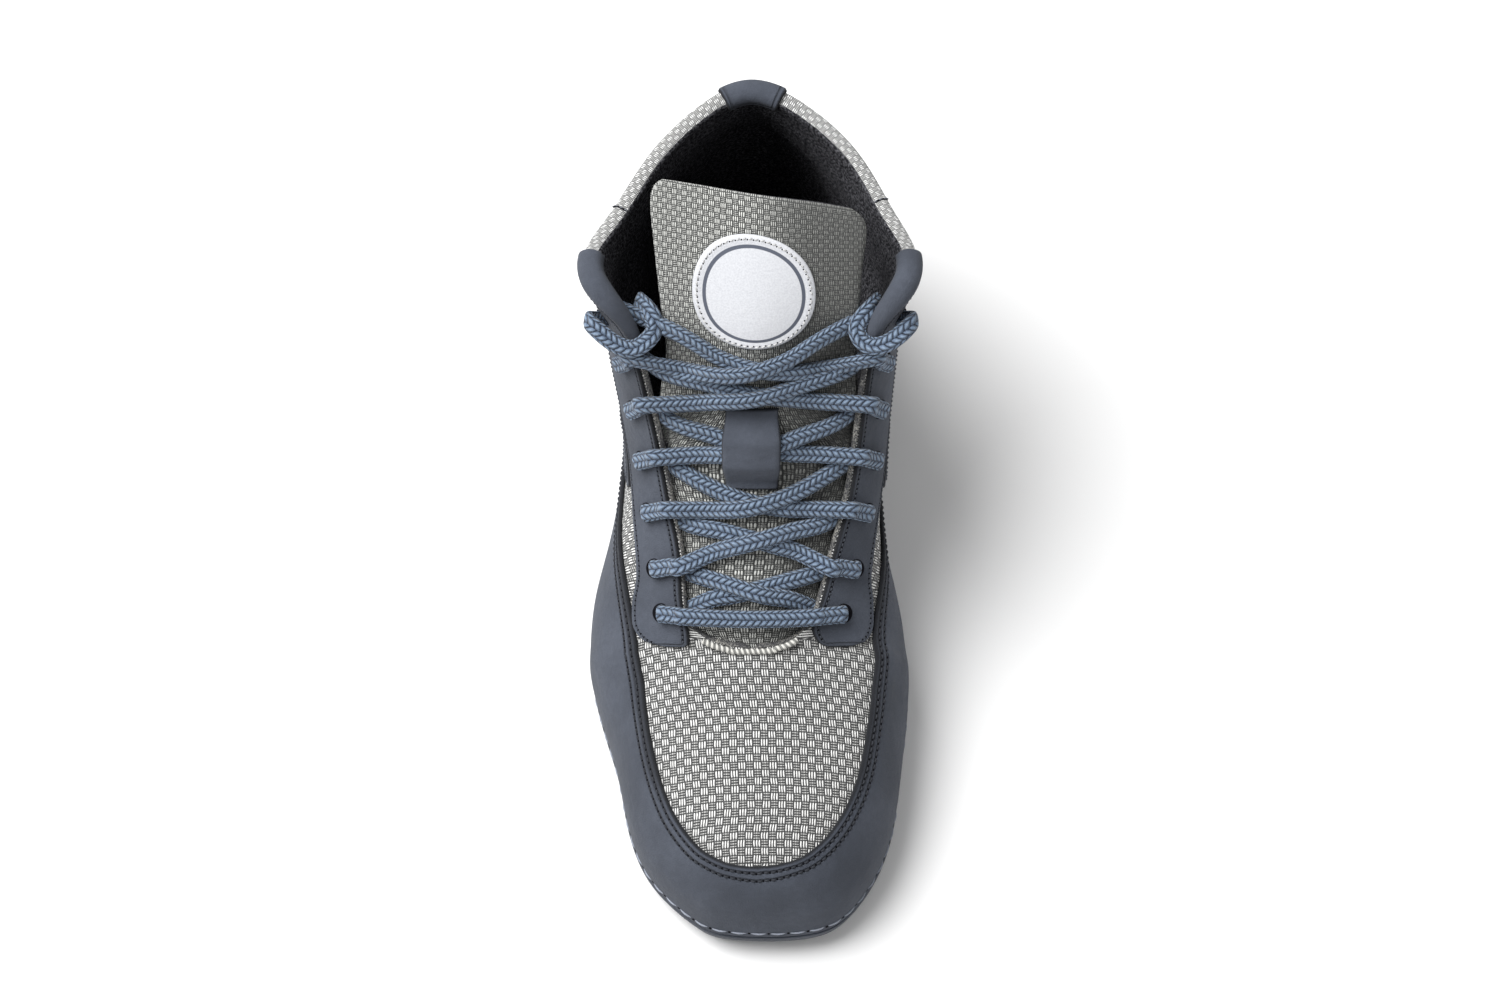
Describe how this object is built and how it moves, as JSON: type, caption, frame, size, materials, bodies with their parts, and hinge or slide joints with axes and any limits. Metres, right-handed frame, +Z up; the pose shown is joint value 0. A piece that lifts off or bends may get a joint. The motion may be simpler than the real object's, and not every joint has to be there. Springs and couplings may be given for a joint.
{
  "type": "wrestling shoe",
  "caption": "Mid-high lace-up wrestling shoe, right foot: hollow mesh upper with nubuck overlays, padded tongue and a thin grooved cup sole.",
  "frame": {"origin": "centre of the shoe's box on the floor, without the two loose lace ends", "axes": "+Z up, toe towards -Y, heel towards +Y, inner (medial) side towards +X"},
  "size_m": [0.1124, 0.278, 0.1689],
  "materials": {
    "sole_rubber": "matte dark slate rubber with a faint sheen on the rim",
    "mesh_light": "light grey basket-weave mesh over dark cloth",
    "mesh_dark": "finer, darker grey mesh over foam",
    "nubuck_slate": "matte slate nubuck with a short nap",
    "badge": "plain pale patch with a raised stitched border",
    "insole_cloth": "black brushed cloth over foam",
    "piping": "rolled light grey edge",
    "lace": "slate-blue braided oval lace"
  },
  "bodies": {
    "root": {"outsole": "sole_rubber", "insole": "insole_cloth", "upper": "mesh_light", "toe_guard": "nubuck_slate", "heel_counter": "nubuck_slate", "eyestay_outer": "nubuck_slate", "eyestay_inner": "nubuck_slate", "quarter_strap_outer": "nubuck_slate", "quarter_strap_inner": "nubuck_slate", "heel_tab": "nubuck_slate", "tongue": "mesh_dark", "lace_keeper": "nubuck_slate", "tongue_badge": "badge", "throat_piping": "piping", "lace_bar": "lace", "lace_crossing_1": "lace", "lace_crossing_2": "lace", "lace_crossing_3": "lace", "lace_crossing_4": "lace", "lace_crossing_5": "lace", "lace_crossing_6": "lace", "lace_end_outer": "lace", "lace_end_inner": "lace"}
  },
  "joints": []
}
